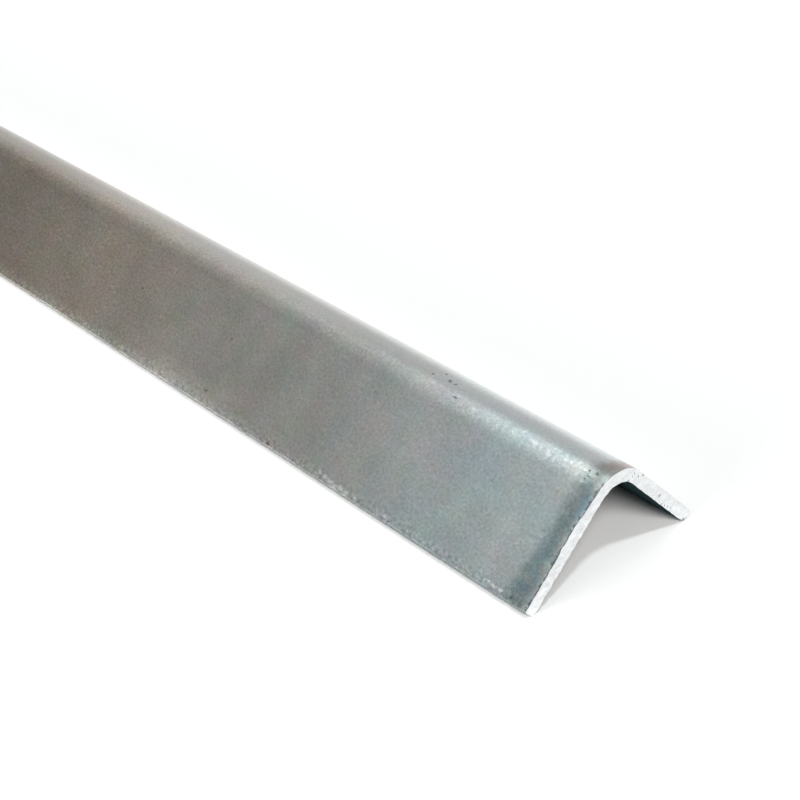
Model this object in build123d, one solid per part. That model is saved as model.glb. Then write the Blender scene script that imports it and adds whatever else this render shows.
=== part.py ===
from build123d import *
from math import sqrt
import os

# Equal-leg steel angle section, cold formed from flat strip and sawn square to length.
#
# One piece of stock: a strip of even thickness, bent once through a right angle, so the heel is
# round on the outside and inside alike. The long edges of the strip are the toes of the two legs,
# and their corners are rounded, more towards the hollow of the angle than towards its outer faces.
#
# Frame, in millimetres: X runs along the length, Z is up, and the origin is on the floor under the
# middle of the bar. The bar stands on its two toes with the heel on top, each leg 45 degrees off
# level. Leg A falls towards -Y and leg B towards +Y.

# Driving dimensions
LENGTH = 1000.0  # between the two sawn ends
LEG_WIDTH = 35.0  # from the sharp corner that the heel rounds off to the end of either leg
THICKNESS = 3.0  # of the strip
INNER_BEND_RADIUS = 6.0  # inside the heel
TOE_INNER_RADIUS = 1.4  # on the toe's corner that faces the hollow, which the bar rests on
TOE_OUTER_RADIUS = 0.4  # on the toe's corner at the outer face

# The most of a toe's thickness that each of its two rounded corners may take
TOE_INNER_SHARE = 0.6
TOE_OUTER_SHARE = 0.3

# Sizes that follow
outer_bend_radius = INNER_BEND_RADIUS + THICKNESS
toe_inner_fillet = min(TOE_INNER_RADIUS, TOE_INNER_SHARE * THICKNESS)
toe_outer_fillet = min(TOE_OUTER_RADIUS, TOE_OUTER_SHARE * THICKNESS)
# The inner corner of each toe touches the floor with its round, and from there the legs rise to
# the sharp corner that the heel rounds off
corner_height = (LEG_WIDTH + THICKNESS - 2 * toe_inner_fillet) / sqrt(2) + toe_inner_fillet


def round_corners(section, corners, radius):
    """The section with a fillet of that radius on each of the named corners."""
    chosen = [section.vertices().sort_by_distance(corner)[0] for corner in corners]
    return fillet(chosen, radius)


def strip_section():
    """The bent strip's section, with leg A along X, leg B along Y and the sharp corner at the origin."""
    outer_corners = [(LEG_WIDTH, 0), (0, LEG_WIDTH)]
    inner_corners = [(LEG_WIDTH, THICKNESS), (THICKNESS, LEG_WIDTH)]
    outer_face = FilletPolyline(outer_corners[0], (0, 0), outer_corners[1], radius=outer_bend_radius)
    inner_face = FilletPolyline(
        inner_corners[0], (THICKNESS, THICKNESS), inner_corners[1], radius=INNER_BEND_RADIUS
    )
    toes = [Line(outer, inner) for outer, inner in zip(outer_corners, inner_corners)]
    section = make_face([outer_face, inner_face, *toes])
    section = round_corners(section, inner_corners, toe_inner_fillet)
    return round_corners(section, outer_corners, toe_outer_fillet)


def angle_section():
    """The whole bar: its section stood on its toes and drawn out from one sawn end to the other."""
    sawn_end = Plane(origin=(-LENGTH / 2, 0, corner_height), x_dir=(0, -1, -1), z_dir=(1, 0, 0))
    return extrude(sawn_end * strip_section(), amount=LENGTH)


os.makedirs("parts", exist_ok=True)
export_step(angle_section(), "parts/angle_section.step")
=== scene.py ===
"""Looks for a length of cold-formed steel angle that stands on its toes with the heel up.

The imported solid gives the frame. One detailed mesh replaces it: the bent strip with its rounded
toes, shear-torn long edges and rough-sawn ends. Four finishes dress it: the rolled skin, the side
towards the hollow, the sheared long edges and the sawn ends. Sizes are in metres unless a name, a
docstring or a comment says otherwise.
"""

import logging
import math
from dataclasses import dataclass, replace
from enum import Enum
from functools import cached_property

import bmesh
import bpy
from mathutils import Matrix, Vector, noise


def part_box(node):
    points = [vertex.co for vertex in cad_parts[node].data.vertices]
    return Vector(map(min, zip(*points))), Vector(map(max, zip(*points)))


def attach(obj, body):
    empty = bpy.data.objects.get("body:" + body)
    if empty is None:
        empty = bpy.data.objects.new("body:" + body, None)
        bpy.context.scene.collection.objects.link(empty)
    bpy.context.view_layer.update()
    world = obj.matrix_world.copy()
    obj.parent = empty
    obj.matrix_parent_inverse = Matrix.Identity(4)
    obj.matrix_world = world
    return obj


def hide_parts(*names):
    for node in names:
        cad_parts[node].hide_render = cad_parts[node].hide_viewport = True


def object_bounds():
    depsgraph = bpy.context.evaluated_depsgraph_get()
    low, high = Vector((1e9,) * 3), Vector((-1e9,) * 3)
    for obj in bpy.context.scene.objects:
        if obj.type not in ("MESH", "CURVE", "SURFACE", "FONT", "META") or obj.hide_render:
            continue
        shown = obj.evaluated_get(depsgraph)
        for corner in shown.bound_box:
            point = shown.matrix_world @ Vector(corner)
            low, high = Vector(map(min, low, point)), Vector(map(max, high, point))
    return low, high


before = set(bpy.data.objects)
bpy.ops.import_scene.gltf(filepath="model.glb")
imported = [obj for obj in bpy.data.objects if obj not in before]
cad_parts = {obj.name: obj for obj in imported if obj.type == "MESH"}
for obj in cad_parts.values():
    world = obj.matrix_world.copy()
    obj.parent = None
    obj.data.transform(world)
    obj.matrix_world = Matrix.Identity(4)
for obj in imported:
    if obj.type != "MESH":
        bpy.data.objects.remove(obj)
cad_low, cad_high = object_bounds()

MM = 0.001
BAR_NODE = "angle_section"
BODY = "root"
HALF_LENGTH = cad_high[0]

Color = tuple[float, float, float, float]
Socket = bpy.types.NodeSocket
Sockets = bpy.types.bpy_prop_collection
Tree = bpy.types.NodeTree
WHITE: Color = (1.0, 1.0, 1.0, 1.0)

log = logging.getLogger("angle_section")


class Face(Enum):
    """Which finish a stretch of the bar's surface takes, in the order of its material slots."""

    SKIN = 0
    TOE = 1
    SAWN = 2
    HOLLOW = 3


Row = list[tuple[bmesh.types.BMVert, Face]]


@dataclass(frozen=True)
class Rim:
    """One point of the section's outline: where it is, which way it faces and what it belongs to."""

    y: float
    z: float
    out_y: float
    out_z: float
    face: Face


@dataclass(frozen=True)
class AngleProfile:
    """Section of the bent strip, standing on its toes."""

    leg: float = 35 * MM
    wall: float = 3 * MM
    inner_bend: float = 6 * MM
    toe_inner: float = 1.4 * MM
    toe_outer: float = 0.4 * MM
    toe_steps: int = 2
    fillet_steps: int = 4
    flat_steps: int = 15
    bend_steps: int = 8
    even_share: float = 0.35

    @property
    def corner_height(self) -> float:
        """Height of the sharp corner that the heel rounds off."""
        return (self.leg + self.wall - 2 * self.toe_inner) / math.sqrt(2) + self.toe_inner

    @property
    def outer_bend(self) -> float:
        """Outside radius of the heel, which shares its centre with the inside one."""
        return self.wall + self.inner_bend

    def over_skin(self, over: float) -> tuple[float, float]:
        """Place of a point on the clean outer skin.

        Args:
            over: distance over the skin from the toe of leg A.

        Returns:
            Its y and z.
        """
        flat = self.leg - self.outer_bend
        turn = max(0.0, over - flat) / self.outer_bend
        along = self.outer_bend * (1.0 - math.sin(turn)) if over > flat else self.leg - over
        rim = self.stand(along, self.outer_bend * (1.0 - math.cos(turn)), 0.0, -1.0, Face.SKIN)
        return rim.y, rim.z

    def half(self, inner: bool) -> list[tuple[float, float, float, float, Face]]:
        """One side of leg A from the middle of its toe to the middle of the heel.

        Args:
            inner: the side that faces the hollow, or the outer one.

        Returns:
            Points and outward directions in the leg's own axes, along it and through it, and faces.
        """
        sign = 1.0 if inner else -1.0
        face_at = self.wall if inner else 0.0
        fillet = self.toe_inner if inner else self.toe_outer
        middle = (self.wall - self.toe_inner + self.toe_outer) / 2
        edge = face_at - sign * fillet
        points = []
        for k in range(self.toe_steps):
            points.append((self.leg, middle + (edge - middle) * k / self.toe_steps, 1.0, 0.0, Face.TOE))
        start = self.leg - fillet
        for k in range(self.fillet_steps + 1):
            turn = math.radians(90) * k / self.fillet_steps
            along, through = math.cos(turn), sign * math.sin(turn)
            points.append((start + fillet * along, edge + fillet * through, along, through, Face.TOE))
        centre = self.outer_bend
        face = Face.HOLLOW if inner else Face.SKIN
        for k in range(1, self.flat_steps):
            gone = (start - centre) * self.graded(k / self.flat_steps)
            points.append((start - gone, face_at, 0.0, sign, face))
        radius = self.inner_bend if inner else self.outer_bend
        for k in range(self.bend_steps + 1):
            turn = math.radians(45) * k / self.bend_steps
            along, through = -math.sin(turn), -math.cos(turn)
            points.append((centre + radius * along, centre + radius * through,
                           -sign * along, -sign * through, face))
        return points

    def graded(self, share: float) -> float:
        """Spacing along a flat: short steps by the toe, longer ones towards the heel."""
        return self.even_share * share + (1.0 - self.even_share) * share * share

    def side(self, inner: bool) -> list[Rim]:
        """One whole side of the section, from toe A over the heel to toe B.

        Args:
            inner: the side that faces the hollow, or the outer one.

        Returns:
            The side's points in the bar's frame.
        """
        near = [self.stand(*point) for point in self.half(inner)]
        far = [Rim(-rim.y, rim.z, -rim.out_y, rim.out_z, rim.face) for rim in reversed(near[:-1])]
        return near + far

    def stand(self, along: float, through: float, out_along: float, out_through: float, face: Face) -> Rim:
        """Turn a point of leg A by 45 degrees onto its toe.

        Args:
            along: distance from the sharp corner along the leg.
            through: distance from the outer face through the wall.
            out_along: the part of its outward direction along the leg.
            out_through: the part of its outward direction through the wall.
            face: what the point belongs to.

        Returns:
            The point in the bar's frame.
        """
        half_root = math.sqrt(0.5)
        return Rim((through - along) * half_root, self.corner_height - (along + through) * half_root,
                   (out_through - out_along) * half_root, -(out_along + out_through) * half_root, face)


@dataclass(frozen=True)
class SawLean:
    """How a hand-guided cut leans on leg A: hollow halfway up outside, flared at the toe inside."""

    depth: float = 0.37 * MM
    height: float = 13.5 * MM
    reach: float = 4.2 * MM
    flare: float = 0.3 * MM
    flare_top: float = 21.6 * MM

    def at(self, y: float, z: float, share: float) -> float:
        """How far the lean takes the cut back.

        Args:
            y: place across the bar.
            z: height.
            share: 0 at the strip's outer side, 1 at its inner side.

        Returns:
            The depth, negative where the cut stands forward.
        """
        if y >= 0.0:
            return 0.0
        middle = math.exp(-((z - self.height) / self.reach) ** 2)
        low = max(0.0, 1.0 - z / self.flare_top)
        return self.depth * middle * (1.0 - share) - self.flare * low * share


@dataclass(frozen=True)
class Ramp:
    """A level that goes from one number to another while a value crosses a span, held at both ends."""

    low: float
    high: float
    to_low: float = 0.0
    to_high: float = 1.0
    smooth: bool = True

    def scaled(self, unit: float) -> "Ramp":
        """The same ramp with its span in another unit."""
        return replace(self, low=self.low * unit, high=self.high * unit)


@dataclass(frozen=True)
class Speckle:
    """A smooth random pattern: width of one patch, number of finer layers on top and their weight."""

    size: float
    detail: float = 2.0
    rough: float = 0.5


class NodeSheet:
    """Adds nodes to one node tree and joins them up."""

    noise_low: float = 0.3
    noise_high: float = 0.7

    def __init__(self, tree: Tree) -> None:
        """Start on a tree."""
        self.tree = tree

    def add(self, kind: str, inputs: dict | None = None, **settings: object) -> bpy.types.Node:
        """Add one node.

        Args:
            kind: the node's type name.
            inputs: value or socket for each named or numbered input.
            settings: the node's own properties.

        Returns:
            The new node.
        """
        node = self.tree.nodes.new(kind)
        for name, value in settings.items():
            setattr(node, name, value)
        for key, value in (inputs or {}).items():
            self.feed(node.inputs[key], value)
        return node

    def feed(self, socket: Socket, value: object) -> None:
        """Give an input its value, or link it to another node's output.

        Args:
            socket: the input.
            value: a plain value, or the output socket to link.
        """
        if isinstance(value, Socket):
            self.tree.links.new(value, socket)
        else:
            socket.default_value = value

    def effect(self, tree: Tree, inputs: dict) -> Socket:
        """Place a shared effect, give it this finish's values and return its result."""
        return self.add("ShaderNodeGroup", inputs, node_tree=tree).outputs[0]

    def calc(self, operation: str, first: object, second: object = 0.0, clamp: bool = False) -> Socket:
        """One step of arithmetic on numbers or sockets, kept between 0 and 1 where clamp says so."""
        node = self.add("ShaderNodeMath", {0: first, 1: second}, operation=operation, use_clamp=clamp)
        return node.outputs[0]

    def product(self, *factors: object) -> object:
        """Multiply numbers or sockets.

        Args:
            factors: one or more of them.

        Returns:
            The product's socket, or a single factor as it is.
        """
        result = factors[0]
        for factor in factors[1:]:
            result = self.calc("MULTIPLY", result, factor)
        return result

    def ramp(self, value: object, ramp: Ramp) -> Socket:
        """Carry a value over a ramp.

        Args:
            value: number or socket that crosses the span.
            ramp: the span and the levels at its ends.

        Returns:
            The result's socket.
        """
        inputs = {"Value": value, "From Min": ramp.low, "From Max": ramp.high,
                  "To Min": ramp.to_low, "To Max": ramp.to_high}
        shape = "SMOOTHSTEP" if ramp.smooth else "LINEAR"
        return self.add("ShaderNodeMapRange", inputs, interpolation_type=shape).outputs["Result"]

    def stretch(self, pattern: Socket, low: float = 0.0, high: float = 1.0) -> Socket:
        """Stretch the usual spread of a random pattern to two limits."""
        return self.ramp(pattern, Ramp(self.noise_low, self.noise_high, low, high, smooth=False))

    def speckle(self, position: Socket, speckle: Speckle) -> Socket:
        """Read a random pattern at a position: a value around one half."""
        scale = 1.0 / speckle.size
        return self.add("ShaderNodeTexNoise", {"Vector": position, "Scale": scale, "Detail": speckle.detail,
                                               "Roughness": speckle.rough}).outputs[0]

    def blend(self, share: object, first: object, second: object, mode: str = "MIX") -> Socket:
        """Mix two colours.

        Args:
            share: how much of the second.
            first: colour or socket.
            second: colour or socket.
            mode: how they combine.

        Returns:
            The mixed colour's socket.
        """
        # A Mix node has sockets for every type, told apart by number: 6, 7 and output 2 are colours.
        inputs = {0: share, 6: first, 7: second}
        return self.add("ShaderNodeMix", inputs, data_type="RGBA", blend_type=mode).outputs[2]

    def tint(self, base: object, tint: object, share: object = 1.0) -> Socket:
        """Multiply a colour by another, all of it or by a share."""
        return self.blend(share, base, tint, "MULTIPLY")

    def shade(self, base: object, tone: Socket, share: object = 1.0) -> Socket:
        """Multiply a colour by a value, all of it or by a share."""
        grey = self.add("ShaderNodeCombineColor", {0: tone, 1: tone, 2: tone}).outputs[0]
        return self.tint(base, grey, share)


class SocketKind(Enum):
    """Types of the sockets of a shared effect."""

    NUMBER = "NodeSocketFloat"
    VECTOR = "NodeSocketVector"
    COLOR = "NodeSocketColor"


@dataclass(frozen=True)
class SharedEffect:
    """A shader node group that several finishes use. It takes a position first and gives one result."""

    name: str

    def start(self, inputs: dict[str, SocketKind], result: str, kind: SocketKind = SocketKind.NUMBER
              ) -> tuple[NodeSheet, Sockets, Socket]:
        """Open a group with named sockets.

        Args:
            inputs: name and type of each input after the position.
            result: name of the result.
            kind: type of the result.

        Returns:
            The group's sheet, the sockets that bring its inputs and the one that takes its result.
        """
        tree = bpy.data.node_groups.new(self.name, "ShaderNodeTree")
        for label, taken in {"Position": SocketKind.VECTOR, **inputs}.items():
            tree.interface.new_socket(label, in_out="INPUT", socket_type=taken.value)
        tree.interface.new_socket(result, in_out="OUTPUT", socket_type=kind.value)
        sheet = NodeSheet(tree)
        return sheet, sheet.add("NodeGroupInput").outputs, sheet.add("NodeGroupOutput").inputs[0]


@dataclass(frozen=True)
class FromSawnEnd(SharedEffect):
    """Distance of a point from the nearer sawn end, measured from the leaning cut."""

    name: str = "distance from sawn end"
    lean: SawLean = SawLean()

    def build(self) -> Tree:
        """Make the group: position in, millimetres out.

        Returns:
            The group.
        """
        sheet, given, out = self.start({}, "Millimetres")
        split = sheet.add("ShaderNodeSeparateXYZ", {0: given["Position"]}).outputs
        away = sheet.calc("SUBTRACT", HALF_LENGTH, sheet.calc("ABSOLUTE", split["X"]))
        above = sheet.calc("SUBTRACT", split["Z"], self.lean.height)
        off_middle = sheet.calc("DIVIDE", above, self.lean.reach)
        bell = sheet.calc("EXPONENT", sheet.product(off_middle, off_middle, -1.0))
        on_leg_a = sheet.calc("LESS_THAN", split["Y"], 0.0)
        back = sheet.product(bell, on_leg_a, self.lean.depth)
        sheet.feed(out, sheet.calc("DIVIDE", sheet.calc("SUBTRACT", away, back), MM))
        return sheet.tree


@dataclass(frozen=True)
class Pitting(SharedEffect):
    """Sparse pits, each in a cell of its own."""

    name: str = "pitting"
    least: float = 0.35
    border: Ramp = Ramp(0.0, 0.55)

    def build(self) -> Tree:
        """Make the group: position, cells per metre, pit size and share of cells in, mask out.

        Returns:
            The group.
        """
        numbers = dict.fromkeys(("Cells per Metre", "Pit Size", "Share"), SocketKind.NUMBER)
        sheet, given, out = self.start(numbers, "Mask")
        cells = sheet.add("ShaderNodeTexVoronoi", {"Vector": given["Position"],
                                                   "Scale": given["Cells per Metre"]}).outputs
        draw = sheet.add("ShaderNodeSeparateColor", {0: cells["Color"]}).outputs
        chosen = sheet.calc("LESS_THAN", draw["Red"], given["Share"])
        reach = sheet.product(given["Pit Size"], sheet.calc("ADD", draw["Green"], self.least))
        depth = sheet.calc("SUBTRACT", 1.0, sheet.calc("DIVIDE", cells["Distance"], reach), clamp=True)
        sheet.feed(out, sheet.product(sheet.ramp(depth, self.border), chosen))
        return sheet.tree


@dataclass(frozen=True)
class FineGrain(SharedEffect):
    """The tiny unevenness of bare rolled or cut steel."""

    name: str = "fine grain"
    detail: float = 3.0
    rough: float = 0.6

    def build(self) -> Tree:
        """Make the group: position and grains per metre in, value out.

        Returns:
            The group.
        """
        sheet, given, out = self.start({"Grains per Metre": SocketKind.NUMBER}, "Value")
        inputs = {"Vector": given["Position"], "Scale": given["Grains per Metre"],
                  "Detail": self.detail, "Roughness": self.rough}
        sheet.feed(out, sheet.add("ShaderNodeTexNoise", inputs).outputs[0])
        return sheet.tree


@dataclass(frozen=True)
class Mottle(SharedEffect):
    """Faint drifts of tone and hue, pink against teal and blue against straw, as on bare rolled steel."""

    name: str = "mottle"
    teal: Color = (0.937, 1.02, 1.0, 1.0)
    pink: Color = (1.063, 0.98, 1.0, 1.0)
    blue: Color = (0.995, 0.985, 1.05, 1.0)
    straw: Color = (1.005, 1.015, 0.95, 1.0)
    tone_contrast: float = 0.072
    detail: float = 3.0
    rough: float = 0.66

    def build(self) -> Tree:
        """Make the group: position and patches per metre in, tint out.

        Returns:
            The group.
        """
        sheet, given, out = self.start({"Patches per Metre": SocketKind.NUMBER}, "Tint", SocketKind.COLOR)
        inputs = {"Vector": given["Position"], "Scale": given["Patches per Metre"],
                  "Detail": self.detail, "Roughness": self.rough}
        drift = sheet.add("ShaderNodeTexNoise", inputs).outputs["Color"]
        draw = sheet.add("ShaderNodeSeparateColor", {0: drift}).outputs
        rosy = sheet.blend(sheet.stretch(draw["Red"]), self.teal, self.pink)
        sunny = sheet.blend(sheet.stretch(draw["Green"]), self.blue, self.straw)
        tone = sheet.stretch(draw["Blue"], 1.0 - self.tone_contrast, 1.0 + self.tone_contrast)
        sheet.feed(out, sheet.shade(sheet.tint(rosy, sunny), tone))
        return sheet.tree


@dataclass(frozen=True)
class Spot(SharedEffect):
    """One small mark with soft, ragged borders."""

    name: str = "spot"
    ragged: Speckle = Speckle(0.45 * MM)
    ragged_by: float = 0.6
    border: Ramp = Ramp(1.2, 0.5)

    def build(self) -> Tree:
        """Make the group: position, the spot's place and its half sizes in, mask out.

        Returns:
            The group.
        """
        vectors = dict.fromkeys(("Place", "Half Size"), SocketKind.VECTOR)
        sheet, given, out = self.start(vectors, "Mask")
        off = given["Position"]
        for operation, other in (("SUBTRACT", given["Place"]), ("DIVIDE", given["Half Size"])):
            off = sheet.add("ShaderNodeVectorMath", {0: off, 1: other}, operation=operation).outputs[0]
        away = sheet.add("ShaderNodeVectorMath", {0: off}, operation="LENGTH").outputs["Value"]
        ragged = sheet.speckle(given["Position"], self.ragged)
        ragged = sheet.stretch(ragged, -self.ragged_by, self.ragged_by)
        sheet.feed(out, sheet.ramp(sheet.calc("ADD", away, ragged), self.border))
        return sheet.tree


@dataclass(frozen=True)
class Effects:
    """The shared node groups, built once."""

    from_end: Tree
    pitting: Tree
    grain: Tree
    mottle: Tree
    spot: Tree

    @classmethod
    def make(cls) -> "Effects":
        """Build every group, in the order of the fields."""
        made = (FromSawnEnd(), Pitting(), FineGrain(), Mottle(), Spot())
        return cls(*(effect.build() for effect in made))


@dataclass(frozen=True)
class Mark:
    """A nick, scratch, speck or stain: its place on the bar and its half sizes."""

    place: tuple[float, float, float]
    half_size: tuple[float, float, float]

    @classmethod
    def on_skin(cls, *rows: tuple[float, float, float, float]) -> "tuple[Mark, ...]":
        """Place marks on the outer skin, all in millimetres.

        Args:
            rows: each mark's distance from the near sawn end, distance over the skin from the toe
                of leg A, half size along the bar and half size across it.

        Returns:
            The marks.
        """
        marks = []
        for from_end, over, along, across in rows:
            y, z = AngleProfile().over_skin(over * MM)
            marks.append(cls((HALF_LENGTH - from_end * MM, y, z), (along * MM, across * MM, across * MM)))
        return tuple(marks)

    @classmethod
    def on_cut(cls, *rows: tuple[float, float, float, float]) -> "tuple[Mark, ...]":
        """Place marks on the near sawn end, all in millimetres.

        Args:
            rows: each mark's place across the bar, height, half size across the bar and half size
                in height.

        Returns:
            The marks, deep enough to reach the cut wherever it leans.
        """
        sizes_deep = 4
        marks = []
        for y, z, wide, tall in rows:
            deep = max(wide, tall) * sizes_deep
            marks.append(cls((HALF_LENGTH, y * MM, z * MM), (deep * MM, wide * MM, tall * MM)))
        return tuple(marks)


@dataclass(frozen=True)
class Stain:
    """A tint that heat has left on some places of the skin."""

    tint: Color
    marks: tuple[Mark, ...]


@dataclass(frozen=True)
class Pits:
    """How pits are spread: cells to the metre, pit size in cells, share of cells and strength."""

    cells_per_metre: float
    size: float
    share: float
    strength: float


@dataclass(frozen=True)
class Zone:
    """A part of the skin with soft borders, as the product of its ramps, all in millimetres.

    The ramps run across the bar, up from the floor and away from the nearer sawn end.
    """

    across: tuple[Ramp, ...] = ()
    up: tuple[Ramp, ...] = ()
    away: tuple[Ramp, ...] = ()


@dataclass
class Surface:
    """A material in the making: its nodes, the effects it may use and where a point of it lies."""

    sheet: NodeSheet
    effects: Effects
    position: Socket

    @cached_property
    def place(self) -> Sockets:
        """The position's parts."""
        return self.sheet.add("ShaderNodeSeparateXYZ", {0: self.position}).outputs

    @cached_property
    def away(self) -> Socket:
        """Millimetres from the nearer sawn end."""
        return self.sheet.effect(self.effects.from_end, {"Position": self.position})

    def zone(self, zone: Zone) -> Socket:
        """Read a zone.

        Args:
            zone: the zone.

        Returns:
            The product of its ramps.
        """
        crossed = [(self.place[axis], ramp.scaled(MM))
                   for axis, ramps in (("Y", zone.across), ("Z", zone.up)) for ramp in ramps]
        crossed += [(self.away, ramp) for ramp in zone.away]
        return self.sheet.product(*(self.sheet.ramp(value, ramp) for value, ramp in crossed))

    def speckle(self, speckle: Speckle) -> Socket:
        """Read a random pattern."""
        return self.sheet.speckle(self.position, speckle)

    def sway(self, speckle: Speckle, by: float, about: float = 0.0) -> Socket:
        """Read a random pattern as a value that goes to both sides of another."""
        return self.sheet.stretch(self.speckle(speckle), about - by, about + by)

    def pits(self, pits: Pits) -> Socket:
        """Read the mask of some pits."""
        return self.sheet.effect(self.effects.pitting, {
            "Position": self.position, "Cells per Metre": pits.cells_per_metre, "Pit Size": pits.size,
            "Share": pits.share})

    def marks(self, marks: tuple[Mark, ...]) -> Socket:
        """Read one mask for a handful of marks.

        Args:
            marks: the marks.

        Returns:
            The mask's socket.
        """
        mask = None
        for mark in marks:
            one = self.sheet.effect(self.effects.spot, {"Position": self.position, "Place": mark.place,
                                                        "Half Size": mark.half_size})
            mask = one if mask is None else self.sheet.calc("MAXIMUM", mask, one)
        return mask


@dataclass(frozen=True, kw_only=True)
class Finish:
    """What every finish of the bar shares: a metal shader, object coordinates and fine relief."""

    name: str
    roughness: float
    bump_strength: float
    bump_depth: float

    def start(self, effects: Effects) -> tuple[Surface, bpy.types.Node, bpy.types.Material]:
        """Open the material with its shader.

        Args:
            effects: the shared node groups.

        Returns:
            The surface to work on, its shader and the material.
        """
        material = bpy.data.materials.new(self.name)
        material.use_nodes = True
        material.node_tree.nodes.clear()
        sheet = NodeSheet(material.node_tree)
        shader = sheet.add("ShaderNodeBsdfPrincipled", {"Metallic": 1.0})
        sheet.add("ShaderNodeOutputMaterial", {"Surface": shader.outputs["BSDF"]})
        return Surface(sheet, effects, sheet.add("ShaderNodeTexCoord").outputs["Object"]), shader, material

    def dress(self, sheet: NodeSheet, shader: bpy.types.Node, base: Socket, rough: Socket,
              height: Socket) -> None:
        """Give the shader what changes over the surface.

        Args:
            sheet: the material's sheet.
            shader: its shader.
            base: the colour.
            rough: the roughness.
            height: the fine relief.
        """
        bump = sheet.add("ShaderNodeBump", {"Strength": self.bump_strength, "Distance": self.bump_depth,
                                            "Height": height})
        for name, value in (("Base Color", base), ("Roughness", rough), ("Normal", bump.outputs["Normal"])):
            sheet.feed(shader.inputs[name], value)


@dataclass(frozen=True, kw_only=True)
class BareSteel(Finish):
    """Bare rolled steel: cool grey by the cut and warmer along the bar, mottled and grained."""

    bump_strength: float = 0.35
    bump_depth: float = 0.03 * MM
    cool: Color
    warm: Color
    low_angle: Color = WHITE
    smear: Speckle = Speckle(14 * MM)
    smear_by: float = 0.015
    grains_per_metre: float = 1600.0
    grain_contrast: float = 0.18
    grain_gain: Zone = Zone(away=(Ramp(90.0, 170.0, 1.0, 1.5),))
    grain_height: float = 0.3
    pits: Pits = Pits(230.0, 0.07, 0.08, 0.6)
    pit_tone: Color = (0.07, 0.075, 0.07, 1.0)
    patches_per_metre: float = 130.0
    drift: Speckle = Speckle(60 * MM)
    drift_by: float = 0.12
    first_warmth: Zone = Zone(away=(Ramp(20.0, 72.0, 0.0, 0.44, smooth=False),))
    later_warmth: Zone = Zone(away=(Ramp(72.0, 175.0, 0.0, 0.56, smooth=False),))
    tone: Zone = Zone(away=(Ramp(45.0, 65.0, 1.0, 0.95), Ramp(95.0, 125.0, 1.0, 1.05),
                            Ramp(155.0, 205.0, 1.0, 0.82)))

    def build(self, effects: Effects) -> bpy.types.Material:
        """Make the material.

        Args:
            effects: the shared node groups.

        Returns:
            The finished material.
        """
        on, shader, material = self.start(effects)
        sheet = on.sheet
        sheet.feed(shader.inputs["Specular Tint"], self.low_angle)
        grain = sheet.effect(effects.grain, {"Position": on.position,
                                             "Grains per Metre": self.grains_per_metre})
        swing = sheet.stretch(grain, -self.grain_contrast, self.grain_contrast)
        swing = sheet.product(swing, on.zone(self.grain_gain))
        base = self.history(on, sheet.shade(self.patina(on), sheet.calc("ADD", swing, 1.0)))
        pits = on.pits(self.pits)
        base = sheet.blend(sheet.product(pits, self.pits.strength), base, self.pit_tone)
        height = sheet.calc("SUBTRACT", sheet.product(grain, self.grain_height), pits)
        self.dress(sheet, shader, base, on.sway(self.smear, self.smear_by, self.roughness), height)
        return material

    def patina(self, on: Surface) -> Socket:
        """Cool grey turning warm along the bar, with faint drifts of hue.

        Args:
            on: the surface in the making.

        Returns:
            The colour's socket.
        """
        sheet = on.sheet
        warmth = sheet.calc("ADD", on.zone(self.first_warmth), on.zone(self.later_warmth))
        warmth = sheet.calc("ADD", warmth, on.sway(self.drift, self.drift_by), clamp=True)
        base = sheet.shade(sheet.blend(warmth, self.cool, self.warm), on.zone(self.tone))
        patches = {"Position": on.position, "Patches per Metre": self.patches_per_metre}
        return sheet.tint(base, sheet.effect(on.effects.mottle, patches))

    def history(self, on: Surface, base: Socket) -> Socket:
        """What else happened to this surface: nothing, unless a finish says so."""
        return base


# Bright steel for real nicks, and for the painted glints on the heel.
BRIGHT_STEEL_AND_GLINT: Color = (0.93, 0.95, 0.95, 1.0)
# Dark steel for real scratches, and for the painted shade line along the sawn rim.
DARK_MARK_AND_SHADE: Color = (0.06, 0.06, 0.055, 1.0)


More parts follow.
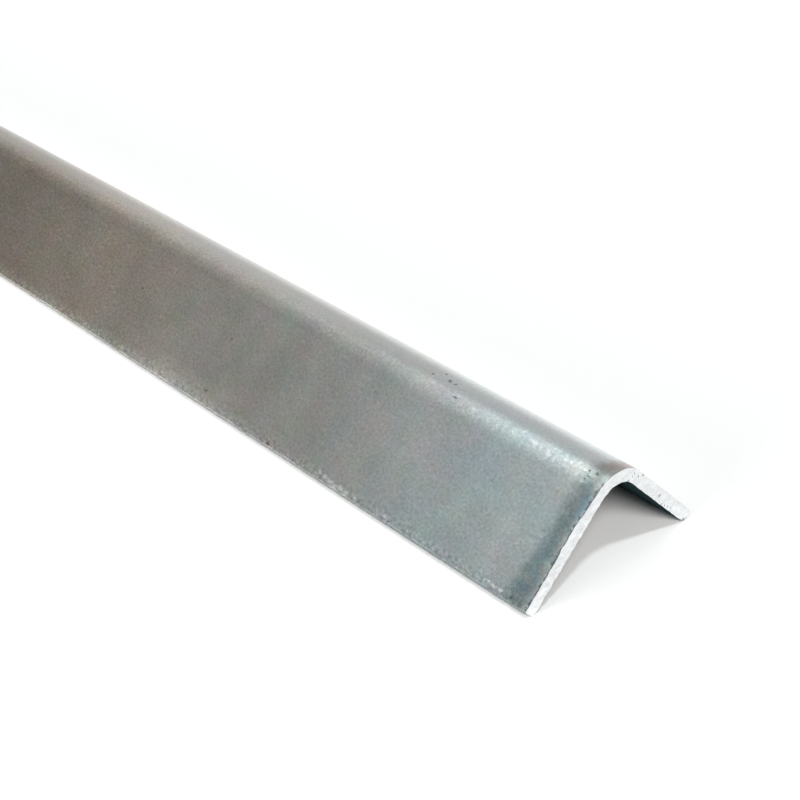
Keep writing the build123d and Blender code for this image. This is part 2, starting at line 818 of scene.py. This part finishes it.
@dataclass(frozen=True)
class Scorch:
    """The dark teal and brown band that a cutting disc leaves beside its cut, and a painted shade line
    along the torn rim.
    """

    teal: Color = (0.49, 0.56, 0.575, 1.0)
    brown: Color = (0.64, 0.565, 0.53, 1.0)
    border: Speckle = Speckle(3.4 * MM, 4.0, 0.65)
    border_by: float = 1.2
    wider_low: Zone = Zone(up=(Ramp(2.0, 16.0, 0.74, 1.0, smooth=False),))
    shorter_on_heel: Zone = Zone(across=(Ramp(-1.0, 1.5, 0.0, 1.3),))
    rise: Ramp = Ramp(-0.8, 2.6, 0.7, 1.0)
    rise_on_heel: Zone = Zone(across=(Ramp(-7.0, -5.0, 0.0, 0.85),))
    fall: Ramp = Ramp(6.4, 2.6)
    hue: Speckle = Speckle(3.2 * MM, 1.0)
    browner: Ramp = Ramp(0.5, 0.66, 0.0, 0.7)
    browner_on_heel: Zone = Zone(across=(Ramp(-5.0, 0.5),))
    torn: Speckle = Speckle(0.8 * MM)
    torn_by: float = 0.4
    # Painted shade: a thin dark line along the cut edge, for the shade of its burr.
    rim: Ramp = Ramp(0.6, 0.2)
    rim_shade_on_flat: Zone = Zone(across=(Ramp(-2.0, -6.0, 0.1, 0.65),))

    def over(self, on: Surface, base: Socket) -> Socket:
        """Burn the colour before.

        Args:
            on: the surface in the making.
            base: the colour before.

        Returns:
            The colour's socket.
        """
        sheet = on.sheet
        wider = sheet.product(on.away, on.zone(self.wider_low))
        reach = sheet.calc("ADD", wider, on.sway(self.border, self.border_by))
        reach = sheet.calc("ADD", reach, on.zone(self.shorter_on_heel))
        rise = sheet.calc("MAXIMUM", sheet.ramp(reach, self.rise), on.zone(self.rise_on_heel))
        band = sheet.product(rise, sheet.ramp(reach, self.fall))
        browner = sheet.calc("ADD", sheet.ramp(on.speckle(self.hue), self.browner),
                             on.zone(self.browner_on_heel), clamp=True)
        base = sheet.tint(base, sheet.blend(browner, self.teal, self.brown), band)
        # Painted shade line along the torn rim.
        by_rim = sheet.calc("ADD", on.away, on.sway(self.torn, self.torn_by))
        rim_shade = sheet.product(sheet.ramp(by_rim, self.rim), on.zone(self.rim_shade_on_flat))
        return sheet.blend(rim_shade, base, DARK_MARK_AND_SHADE)


@dataclass(frozen=True)
class PaintedHeelHighlight:
    """Painted highlight on the heel: brighter steel on its far side, a slightly darker band before its top
    and small painted glints on its shoulder.
    """

    # Painted highlight: the heel lighter towards its far side, most near the cut.
    heel: Zone = Zone(across=(Ramp(0.8, 4.4), Ramp(9.0, 6.4, 0.0, 0.5)))
    # Painted shade: a little darker from just before the top of the heel onwards.
    crest_dim: Zone = Zone(across=(Ramp(-3.4, -1.8, 1.0, 0.94),))
    near_part: Zone = Zone(away=(Ramp(35.0, 190.0, 1.0, 0.1),))
    # Painted highlight and shade: they shape the bright band on the heel away from the cut.
    edge: Zone = Zone(across=(Ramp(-6.8, -5.6, 1.0, 0.93), Ramp(-4.2, -2.2, 1.0, 1.19),
                              Ramp(-0.6, 1.4, 1.0, 0.91)))
    far_part: Zone = Zone(away=(Ramp(50.0, 90.0),))
    # Darker past the heel, on the side of leg B.
    dimmer_past_heel: Zone = Zone(across=(Ramp(6.4, 9.0, 1.0, 0.8),))
    shoulder: Zone = Zone(across=(Ramp(-6.4, -4.6), Ramp(-1.4, -2.8)),
                          away=(Ramp(75.0, 15.0, 0.15, 1.0), Ramp(1.5, 4.5)))
    # Painted glints: small bright specks on the shoulder of the heel, most near the cut.
    glints: Speckle = Speckle(1.0 * MM, 3.0, 0.6)
    glint_border: Ramp = Ramp(0.5, 0.74)
    glint_strength: float = 0.55

    def over(self, on: Surface, base: Socket) -> Socket:
        """Rub the colour before.

        Args:
            on: the surface in the making.
            base: the colour before.

        Returns:
            The colour's socket.
        """
        sheet = on.sheet
        # Painted highlight on the heel, its band shaped away from the cut, then painted glints on its
        # shoulder.
        crest = sheet.product(sheet.calc("ADD", on.zone(self.heel), 1.0), on.zone(self.crest_dim))
        base = sheet.shade(base, crest, on.zone(self.near_part))
        base = sheet.shade(base, on.zone(self.edge), on.zone(self.far_part))
        base = sheet.shade(base, on.zone(self.dimmer_past_heel))
        glints = sheet.ramp(on.speckle(self.glints), self.glint_border)
        lighter_share = sheet.product(on.zone(self.shoulder), glints, self.glint_strength)
        return sheet.blend(lighter_share, base, BRIGHT_STEEL_AND_GLINT)


@dataclass(frozen=True)
class ToeWear:
    """Rough, speckled steel just above the toes, lighter towards the far end, with bright nicks."""

    lighter_tint: Color = (1.21, 1.26, 1.31, 1.0)
    dragged_tint: Color = (1.2, 1.2, 1.18, 1.0)
    low: Zone = Zone(up=(Ramp(3.9, 2.2),))
    lighter_share: Zone = Zone(away=(Ramp(50.0, 120.0),))
    dragged: Zone = Zone(up=(Ramp(6.2, 3.8),), away=(Ramp(92.0, 106.0), Ramp(138.0, 116.0)))
    rough: Speckle = Speckle(0.9 * MM, 3.0, 0.7)
    rough_by: float = 0.38
    nicks: Pits = Pits(420.0, 0.3, 0.16, 0.7)

    def over(self, on: Surface, base: Socket) -> Socket:
        """Wear the colour before.

        Args:
            on: the surface in the making.
            base: the colour before.

        Returns:
            The colour's socket.
        """
        sheet = on.sheet
        low = on.zone(self.low)
        base = sheet.tint(base, self.lighter_tint, sheet.product(low, on.zone(self.lighter_share)))
        base = sheet.tint(base, self.dragged_tint, on.zone(self.dragged))
        base = sheet.shade(base, on.sway(self.rough, self.rough_by, 1.0), low)
        nicked = sheet.product(on.pits(self.nicks), low, self.nicks.strength)
        return sheet.blend(nicked, base, BRIGHT_STEEL_AND_GLINT)


@dataclass(frozen=True, kw_only=True)
class RolledSkin(BareSteel):
    """The outer side of the strip: scorched by the cut, with painted highlight and painted reflection on
    the heel, worn at the toes.
    """

    name: str = "rolled_skin"
    roughness: float = 0.296
    cool: Color = (0.462, 0.527, 0.535, 1.0)
    warm: Color = (0.583, 0.509, 0.43, 1.0)
    # Painted reflection: the heel turns towards a neutral grey, as where it shows the pale room.
    crest_grey: Color = (0.515, 0.515, 0.515, 1.0)
    crest: Zone = Zone(across=(Ramp(-4.0, 1.0, 0.0, 0.5),))
    scorch: Scorch = Scorch()
    heel_highlight: PaintedHeelHighlight = PaintedHeelHighlight()
    toe_wear: ToeWear = ToeWear()
    mark_strength: float = 0.7
    scratches: tuple[Mark, ...] = Mark.on_skin(
        (50.5, 32.1, 0.35, 0.4), (48.5, 34.2, 0.35, 0.4), (45.9, 32.7, 0.4, 0.45), (44.2, 32.6, 0.35, 0.4),
        (41.2, 29.6, 0.6, 0.25), (4.5, 1.2, 0.3, 0.25), (2.8, 30.0, 0.4, 0.3), (4.6, 29.8, 0.3, 0.3),
        (3.9, 28.7, 0.3, 0.2), (4.3, 27.9, 0.3, 0.25), (102.7, 3.3, 0.5, 0.4), (78.0, 0.8, 0.5, 0.4),
        (57.5, 1.6, 0.5, 0.3))
    nicks: tuple[Mark, ...] = Mark.on_skin(
        (7.3, 1.3, 0.6, 0.4), (9.2, 1.2, 0.9, 0.4), (10.7, 1.5, 0.4, 0.3), (52.4, 0.9, 0.7, 0.5),
        (54.3, 1.2, 1.0, 0.6), (55.8, 0.9, 1.0, 0.6), (57.4, 1.2, 1.0, 0.6), (59.3, 1.4, 0.8, 0.5),
        (61.2, 1.7, 0.6, 0.4), (49.5, 1.1, 0.5, 0.3), (40.5, 1.2, 0.5, 0.3))
    stains: tuple[Stain, ...] = (
        Stain((0.92, 1.05, 1.1, 1.0), Mark.on_skin((1.2, 23.3, 1.0, 3.2))),
        Stain((1.12, 1.0, 0.95, 1.0), Mark.on_skin((3.2, 23.3, 1.1, 2.4), (1.1, 14.1, 0.9, 0.6))),
        Stain((0.8, 0.84, 0.84, 1.0), Mark.on_skin((3.4, 17.6, 1.2, 3.4))),
        Stain((0.84, 0.88, 0.96, 1.0), Mark.on_skin((2.5, 11.6, 0.8, 1.0), (4.0, 4.0, 2.6, 1.2))),
        Stain((0.89, 0.9, 0.88, 1.0), Mark.on_skin((7.8, 6.2, 3.6, 6.4), (8.2, 2.0, 5.0, 2.0))),
        Stain((1.15, 1.3, 1.25, 1.0), Mark.on_skin((1.5, 10.0, 0.8, 1.2))))

    def history(self, on: Surface, base: Socket) -> Socket:
        """Scorch, stains, painted heel highlight, wear and marks, one after the other.

        Args:
            on: the surface in the making.
            base: the colour before.

        Returns:
            The colour's socket.
        """
        sheet = on.sheet
        # Painted reflection tone on the heel, then the band and rim by the cut.
        base = self.scorch.over(on, sheet.blend(on.zone(self.crest), base, self.crest_grey))
        for stain in self.stains:
            base = sheet.tint(base, stain.tint, on.marks(stain.marks))
        base = self.toe_wear.over(on, self.heel_highlight.over(on, base))
        for marks, tone in ((self.scratches, DARK_MARK_AND_SHADE), (self.nicks, BRIGHT_STEEL_AND_GLINT)):
            base = sheet.blend(sheet.product(on.marks(marks), self.mark_strength), base, tone)
        return base


@dataclass(frozen=True, kw_only=True)
class ShearedToe(BareSteel):
    """The long edges of the strip, sheared and then dulled, and painted lighter far from the cut for the
    white backdrop blurring into the far edge.
    """

    name: str = "sheared_toe"
    roughness: float = 0.5
    cool: Color = (0.25, 0.285, 0.29, 1.0)
    # Painted glow: lighter far from the cut, standing for the white backdrop blurred into the far toe edge.
    warm: Color = (0.48, 0.475, 0.465, 1.0)


@dataclass(frozen=True, kw_only=True)
class HollowSkin(BareSteel):
    """The side of the strip that faces the hollow, painted very dark for the shade inside the hollow over
    its dark scale.
    """

    name: str = "hollow_skin"
    roughness: float = 0.5
    # Painted shade: near black, with dim reflections at low angles, for the shade inside the hollow.
    cool: Color = (0.022, 0.045, 0.05, 1.0)
    warm: Color = (0.08, 0.08, 0.075, 1.0)
    low_angle: Color = (0.38, 0.44, 0.455, 1.0)
    grain_contrast: float = 0.8


@dataclass(frozen=True, kw_only=True)
class SawnSteel(Finish):
    """Freshly sawn steel: bright, with fine cut lines and a few dark specks."""

    name: str = "sawn_steel"
    roughness: float = 0.45
    bump_strength: float = 0.4
    bump_depth: float = 0.04 * MM
    bright: Color = (0.83, 0.84, 0.85, 1.0)
    dark: Color = (0.1, 0.1, 0.1, 1.0)
    line_turn: float = math.radians(38)
    line_stretch: float = 1.8
    cut: Speckle = Speckle(1.8 * MM, 4.0, 0.75)
    darkest: float = 0.8
    brightest: float = 1.1
    smoother_by: float = 0.06
    rougher_by: float = 0.08
    pits: Pits = Pits(900.0, 0.16, 0.06, 0.5)
    speck_strength: float = 0.7
    specks: tuple[Mark, ...] = Mark.on_cut(
        (7.6, 18.4, 0.35, 0.3), (13.4, 10.7, 0.4, 0.35), (14.3, 8.1, 0.14, 0.3), (15.4, 7.3, 0.14, 0.3),
        (16.4, 6.6, 0.14, 0.3), (17.4, 5.9, 0.14, 0.3), (4.2, 19.5, 0.12, 0.35), (4.8, 20.0, 0.12, 0.3),
        (6.1, 18.7, 0.15, 0.3), (3.1, 19.0, 0.25, 0.25), (22.2, 0.3, 1.0, 0.8))

    def build(self, effects: Effects) -> bpy.types.Material:
        """Make the material.

        Args:
            effects: the shared node groups.

        Returns:
            The finished material.
        """
        on, shader, material = self.start(effects)
        sheet = on.sheet
        lines = sheet.add("ShaderNodeMapping", {
            "Vector": on.position, "Rotation": (self.line_turn, 0.0, 0.0),
            "Scale": (1.0, 1.0, self.line_stretch)}).outputs[0]
        cut = sheet.speckle(lines, self.cut)
        base = sheet.shade(self.bright, sheet.stretch(cut, self.darkest, self.brightest))
        pits = on.pits(self.pits)
        for mask, strength in ((pits, self.pits.strength), (on.marks(self.specks), self.speck_strength)):
            base = sheet.blend(sheet.product(mask, strength), base, self.dark)
        rough = sheet.stretch(cut, self.roughness - self.smoother_by, self.roughness + self.rougher_by)
        self.dress(sheet, shader, base, rough, sheet.calc("SUBTRACT", cut, pits))
        return material


@dataclass(frozen=True)
class Unevenness:
    """One kind of unevenness, which bites where smooth noise from -1 to 1 rises above a level.

    Its length is that of one patch. Each kind reads the noise in a layer of its own.
    """

    depth: float
    length: float
    layer: float = 0.0
    above: float = -1.0
    seed: float = 3.7

    def at(self, x: float, y: float, z: float, shift: float = 0.0) -> float:
        """How deep it bites at a place.

        Args:
            x: place along the bar.
            y: place across the bar.
            z: height.
            shift: moves its layer.

        Returns:
            The depth.
        """
        layer = self.layer + shift
        spot = (x / self.length + self.seed + layer, y / self.length - layer, z / self.length + 2 * layer)
        return self.depth * max(0.0, noise.noise(Vector(spot)) - self.above)


@dataclass(frozen=True)
class Wear:
    """How far shearing, sawing and handling move the surface from the clean form."""

    face_sway: Unevenness = Unevenness(0.015 * MM, 60 * MM, layer=1.0)
    toe_tear: Unevenness = Unevenness(0.1 * MM, 1.6 * MM, layer=5.0, above=-0.2)
    toe_nick: Unevenness = Unevenness(0.25 * MM, 2.25 * MM, layer=9.0, above=0.45)
    rim_tear: Unevenness = Unevenness(0.072 * MM, 0.8 * MM, layer=13.0)
    saw_sway: Unevenness = Unevenness(0.03 * MM, 6 * MM)
    saw_jag: Unevenness = Unevenness(0.2 * MM, 1.1 * MM, layer=20.0, above=-0.25)
    saw_lean: SawLean = SawLean()

    def inward(self, x: float, rim: Rim, rim_share: float) -> float:
        """How deep a point of the long surface lies under the clean form.

        Args:
            x: place along the bar.
            rim: the section's point.
            rim_share: 1 at a sawn edge, falling to 0 inside the bar.

        Returns:
            Depth along the inward direction.
        """
        depth = self.face_sway.at(x, rim.y, rim.z)
        if rim.face is Face.TOE:
            depth += self.toe_tear.at(x, rim.y, rim.z) + self.toe_nick.at(x, rim.y, 0.0)
        return depth + rim_share * self.rim_tear.at(x, rim.y, rim.z)

    def sawn(self, side: float, y: float, z: float, share: float) -> float:
        """How deep a point of a sawn end lies behind the clean cut, which leans a little on leg A.

        Args:
            side: 1 for the near end and -1 for the far one.
            y: place across the bar.
            z: height.
            share: 0 at the strip's outer side, 1 at its inner side.

        Returns:
            The depth.
        """
        return self.saw_sway.at(side, y, z, side) + self.saw_lean.at(y, z, share)

    def jag(self, side: float, y: float, z: float) -> float:
        """How far the rim of one sawn end is broken back."""
        return self.saw_jag.at(side, y, z, side)


@dataclass(frozen=True)
class AngleBar:
    """The whole bar: its section carried along the length, closed by two sawn ends."""

    length: float
    profile: AngleProfile = AngleProfile()
    wear: Wear = Wear()
    fine_step: float = 0.3 * MM
    step_growth: float = 0.12
    close_step: float = 0.55 * MM
    close_reach: float = 200 * MM
    long_step: float = 3.0 * MM
    shortest_step: float = 0.15 * MM
    end_zone: float = 1.8 * MM
    tear_zone: float = 1.44 * MM
    tear_power: int = 2
    jag_power: int = 4
    across_end: int = 8
    sharp_angle: float = math.radians(40)

    def build(self, effects: Effects) -> bpy.types.Object:
        """Make the mesh and dress it.

        Args:
            effects: the shared node groups.

        Returns:
            The bar's object.
        """
        mesh = bpy.data.meshes.new("steel_angle")
        for finish in (RolledSkin(), ShearedToe(), SawnSteel(), HollowSkin()):
            mesh.materials.append(finish.build(effects))
        self.fill(mesh)
        bar = bpy.data.objects.new("steel_angle", mesh)
        bpy.context.scene.collection.objects.link(bar)
        return bar

    def stations(self) -> list[float]:
        """Places along the bar, closest together by the ends and along the first stretch.

        Returns:
            The places, from the near end to the far one.
        """
        half = self.length / 2
        places = [half]
        while places[-1] > -half:
            from_near, from_far = half - places[-1], places[-1] + half
            step = self.close_step if from_near < self.close_reach else self.long_step
            by_end = self.fine_step + self.step_growth * min(from_near, from_far)
            places.append(places[-1] - min(step, by_end))
        places[-1] = -half
        if places[-2] - places[-1] < self.shortest_step:
            del places[-2]
        return places

    def fine_counts(self) -> list[int]:
        """Short steps in each stretch between outline points, the same on both sides of the strip.

        Returns:
            The number of steps in each stretch.
        """
        runs = []
        for inner in (False, True):
            side = self.profile.side(inner)
            runs.append([math.hypot(there.y - here.y, there.z - here.z)
                         for here, there in zip(side, side[1:])])
        return [max(1, round(max(pair) / self.fine_step)) for pair in zip(*runs)]

    def ring(self, counts: list[int]) -> list[Rim]:
        """The closed outline, out along the outer side and back along the inner one, in those steps."""
        outer, inner = (self.divided(self.profile.side(inner), counts) for inner in (False, True))
        return outer + list(reversed(inner))[1:-1]

    def divided(self, side: list[Rim], counts: list[int]) -> list[Rim]:
        """One side with each of its stretches cut into that many steps."""
        points = [self.between(here, there, k / count)
                  for here, there, count in zip(side, side[1:], counts) for k in range(count)]
        return points + [side[-1]]

    @staticmethod
    def between(here: Rim, there: Rim, share: float) -> Rim:
        """A point part of the way from one outline point to the next.

        Args:
            here: the first point.
            there: the next one.
            share: how much of the way.

        Returns:
            The point between them.
        """
        keep = 1.0 - share
        face = there.face if here.face is Face.TOE else here.face
        return Rim(keep * here.y + share * there.y, keep * here.z + share * there.z,
                   keep * here.out_y + share * there.out_y, keep * here.out_z + share * there.out_z, face)

    def fill(self, mesh: bpy.types.Mesh) -> None:
        """Write the bar's surface into a mesh.

        Args:
            mesh: the empty mesh.
        """
        build = bmesh.new()
        short = self.fine_counts()
        plain = [1] * len(short)
        rings = {True: self.ring(short), False: self.ring(plain)}
        steps = {True: short + short[::-1], False: plain + plain}
        rows = []
        for x in self.stations():
            fine = self.length / 2 - abs(x) < self.end_zone
            rows.append((self.row(build, x, rings[fine]), steps[fine]))
        for ahead, behind in zip(rows, rows[1:]):
            self.skin(build, ahead, behind)
        side = sum(short)
        for row, _ in (rows[0], rows[-1]):
            self.cap(build, row[:side + 1], [row[0]] + row[:side - 1:-1])
        bmesh.ops.recalc_face_normals(build, faces=build.faces)
        build.to_mesh(mesh)
        build.free()
        mesh.shade_smooth()
        mesh.set_sharp_from_angle(angle=self.sharp_angle)

    def row(self, build: bmesh.types.BMesh, x: float, ring: list[Rim]) -> Row:
        """Vertices of one ring.

        Args:
            build: the mesh being built.
            x: place along the bar.
            ring: the outline's points.

        Returns:
            The ring's vertices, each with the finish it belongs to.
        """
        side = math.copysign(1.0, x)
        inside = self.length / 2 - abs(x)
        share = max(0.0, 1.0 - inside / self.tear_zone) ** self.tear_power
        pull = max(0.0, 1.0 - inside / self.end_zone)
        row = []
        for rim in ring:
            depth = self.wear.inward(x, rim, share)
            place = Vector((x, rim.y - rim.out_y * depth, max(0.0, rim.z - rim.out_z * depth)))
            if pull > 0.0:
                jag = self.wear.jag(side, place.y, place.z) * pull ** self.jag_power
                place.x -= side * (self.cut_depth(place, side) + jag) * pull
            row.append((build.verts.new(place), rim.face))
        return row

    def cut_depth(self, place: Vector, side: float) -> float:
        """How deep the sawn surface lies behind the clean cut at a point of one end."""
        through = (self.profile.corner_height - place.z + place.y) / math.sqrt(2)
        return self.wear.sawn(side, place.y, place.z, min(1.0, max(0.0, through / self.profile.wall)))

    @staticmethod
    def skin(build: bmesh.types.BMesh, ahead: tuple[Row, list[int]], behind: tuple[Row, list[int]]) -> None:
        """Faces between two rings, which may differ in how finely they are divided.

        Args:
            build: the mesh being built.
            ahead: one ring's vertices and its steps in each stretch.
            behind: the same for the next ring.
        """
        ends = [0, 0]
        for counts in zip(ahead[1], behind[1]):
            front, back = ([row[(end + j) % len(row)] for j in range(count + 1)]
                           for (row, _), end, count in zip((ahead, behind), ends, counts))
            if counts[0] == counts[1]:
                loops = [[front[j], front[j + 1], back[j + 1], back[j]] for j in range(counts[0])]
            else:
                loops = [front + back[::-1]]
            for loop in loops:
                made = build.faces.new([vert for vert, _ in loop])
                faces = {face for _, face in loop} - {Face.TOE}
                made.material_index = max(faces, default=Face.TOE, key=lambda face: face.value).value
            ends = [end + count for end, count in zip(ends, counts)]

    def cap(self, build: bmesh.types.BMesh, outer: Row, inner: Row) -> None:
        """The sawn end that closes one end of the bar.

        Args:
            build: the mesh being built.
            outer: the last ring's vertices along the outer side, toe to toe.
            inner: the same along the inner side, from the same first vertex to the same last one.
        """
        columns = []
        for (top, _), (bottom, _) in zip(outer, inner):
            column = [top]
            if top is not bottom:
                for k in range(1, self.across_end):
                    place = top.co.lerp(bottom.co, k / self.across_end)
                    side = math.copysign(1.0, place.x)
                    place.x = side * (self.length / 2 - self.cut_depth(place, side))
                    column.append(build.verts.new(place))
                column.append(bottom)
            columns.append(column)
        for left, right in zip(columns, columns[1:]):
            for k in range(self.across_end):
                corners = [column[min(step, len(column) - 1)]
                           for column, step in ((left, k), (left, k + 1), (right, k + 1), (right, k))]
                made = build.faces.new(list(dict.fromkeys(corners)))
                made.material_index = Face.SAWN.value


@dataclass(frozen=True)
class SunLamp:
    """A far lamp: where its light comes from, how strong and how wide it is, and its tint."""

    name: str
    way: tuple[float, float, float]
    strength: float
    width: float
    tint: tuple[float, float, float] = (1.0, 1.0, 1.0)

    def hang(self) -> None:
        """Put the lamp in the scene."""
        light = bpy.data.lights.new(self.name, "SUN")
        light.energy = self.strength
        light.angle = self.width
        light.color = self.tint
        lamp = bpy.data.objects.new(self.name, light)
        lamp.rotation_mode = "QUATERNION"
        lamp.rotation_quaternion = Vector(self.way).to_track_quat("Z", "Y")
        lamp.location = Vector(self.way)
        bpy.context.scene.collection.objects.link(lamp)


@dataclass(frozen=True)
class Studio:
    """Pale floor, a small lamp overhead, broad ones in front and a pale room all round."""

    floor_size: float = 60.0
    floor_tone: float = 0.95
    lamps: tuple[SunLamp, ...] = (
        SunLamp("overhead_lamp", (0.26, -0.07, 0.96), 0.98, math.radians(4.5), (0.9, 0.97, 1.0)),
        SunLamp("key_lamp", (0.576, -0.45, 0.682), 2.33, math.radians(18), (1.0, 0.985, 0.96)),
        SunLamp("front_lamp", (0.0, -0.978, 0.208), 1.12, math.radians(30)),
    )
    backdrop: float = 1.0
    fill_light: float = 0.23
    room_tone: Ramp = Ramp(0.0, math.radians(85), 0.22, 1.0)
    dim_from: tuple[float, float, float] = (-0.874, -0.318, 0.367)
    strip_front: Ramp = Ramp(math.radians(-70.6), math.radians(12.8), 0.0, 1.71)
    strip_back: Ramp = Ramp(math.radians(12.4), math.radians(25.2), 1.0, 0.0)
    strip_reach: Ramp = Ramp(0.527, 0.557, 1.0, 0.0)

    def build(self) -> None:
        """Make the floor, the lamps and the room."""
        self.lay_floor()
        for lamp in self.lamps:
            lamp.hang()
        self.light_room()

    def lay_floor(self) -> None:
        """A plain matt floor, wide enough to reach the horizon."""
        mesh = bpy.data.meshes.new("floor")
        build = bmesh.new()
        bmesh.ops.create_grid(build, x_segments=1, y_segments=1, size=self.floor_size / 2)
        build.to_mesh(mesh)
        build.free()
        floor = bpy.data.objects.new("floor", mesh)
        bpy.context.scene.collection.objects.link(floor)
        material = bpy.data.materials.new("floor_paper")
        material.use_nodes = True
        material.node_tree.nodes.clear()
        sheet = NodeSheet(material.node_tree)
        paper = (self.floor_tone, self.floor_tone, self.floor_tone, 1.0)
        matt = sheet.add("ShaderNodeBsdfDiffuse", {"Color": paper, "Roughness": 0.0})
        sheet.add("ShaderNodeOutputMaterial", {"Surface": matt.outputs[0]})
        mesh.materials.append(material)

    def light_room(self) -> None:
        """A pale room, which metal shows with its strip light overhead and its dim far corner."""
        world = bpy.data.worlds.new("room")
        bpy.context.scene.world = world
        world.use_nodes = True
        world.node_tree.nodes.clear()
        sheet = NodeSheet(world.node_tree)
        towards = sheet.add("ShaderNodeTexCoord").outputs["Generated"]
        path = sheet.add("ShaderNodeLightPath").outputs
        shown = sheet.calc("ADD", self.room(sheet, towards), self.strip(sheet, towards))
        shown = self.choose(sheet, path["Is Camera Ray"], shown, self.backdrop)
        mirrored = sheet.calc("MAXIMUM", path["Is Glossy Ray"], path["Is Transmission Ray"])
        seen = sheet.calc("MAXIMUM", path["Is Camera Ray"], mirrored)
        light = self.choose(sheet, seen, self.fill_light, shown)
        back = sheet.add("ShaderNodeBackground", {"Color": WHITE, "Strength": light})
        sheet.add("ShaderNodeOutputWorld", {"Surface": back.outputs[0]})

    def room(self, sheet: NodeSheet, towards: Socket) -> Socket:
        """The room's own tone, lower in the corner behind the bar's far end."""
        near = sheet.add("ShaderNodeVectorMath", {0: towards, 1: Vector(self.dim_from).normalized()},
                         operation="DOT_PRODUCT").outputs["Value"]
        return sheet.ramp(sheet.calc("ARCCOSINE", near), self.room_tone)

    def strip(self, sheet: NodeSheet, towards: Socket) -> Socket:
        """A long strip light over the bar, along it, soft in front and sharp behind.

        Args:
            sheet: the room's sheet.
            towards: the direction that is looked in.

        Returns:
            Its light in that direction.
        """
        split = sheet.add("ShaderNodeSeparateXYZ", {0: towards}).outputs
        roll = sheet.calc("ARCTAN2", split["Y"], split["Z"])
        along = sheet.calc("ABSOLUTE", split["X"])
        return sheet.product(sheet.ramp(roll, self.strip_front), sheet.ramp(roll, self.strip_back),
                             sheet.ramp(along, self.strip_reach))

    @staticmethod
    def choose(sheet: NodeSheet, share: Socket, first: object, second: object) -> Socket:
        """Blend two values by a share."""
        return sheet.add("ShaderNodeMix", {0: share, 2: first, 3: second}, data_type="FLOAT").outputs[0]


@dataclass(frozen=True)
class ViewPoint:
    """Where the bar is looked at from."""

    azimuth: float = math.radians(47.44)
    elevation: float = math.radians(31.69)
    distance: float = 333.25 * MM
    aim_from_end: float = 43.0 * MM
    aim_side: float = -17.25 * MM
    aim_height: float = 26.29 * MM
    lens: float = 75.1
    sensor: float = 36.0
    nearest: float = 0.01

    def build(self, end: float) -> None:
        """Set up the camera.

        Args:
            end: place of the sawn end that it looks at, along X.
        """
        aim = Vector((end - self.aim_from_end, self.aim_side, self.aim_height))
        flat = math.cos(self.elevation)
        back = Vector((math.sin(self.azimuth) * flat, -math.cos(self.azimuth) * flat,
                       math.sin(self.elevation)))
        camera = bpy.data.cameras.new("camera")
        camera.lens = self.lens
        camera.sensor_width = self.sensor
        camera.clip_start = self.nearest
        eye = bpy.data.objects.new("camera", camera)
        eye.rotation_mode = "QUATERNION"
        eye.rotation_quaternion = back.to_track_quat("Z", "Y")
        eye.location = aim + self.distance * back
        bpy.context.scene.collection.objects.link(eye)
        bpy.context.scene.camera = eye


def main() -> None:
    """Build the bar in its finishes, then its studio and the view."""
    logging.basicConfig(level=logging.INFO, format="%(name)s: %(message)s")
    bpy.context.scene.view_settings.view_transform = "Standard"
    low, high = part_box(BAR_NODE)
    bar = AngleBar(length=high[0] - low[0]).build(Effects.make())
    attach(bar, BODY)
    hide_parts(BAR_NODE)
    log.info("bar: %d faces, %.1f mm long", len(bar.data.polygons), (high[0] - low[0]) / MM)
    Studio().build()
    ViewPoint().build(high[0])


if __name__ == "__main__":
    main()
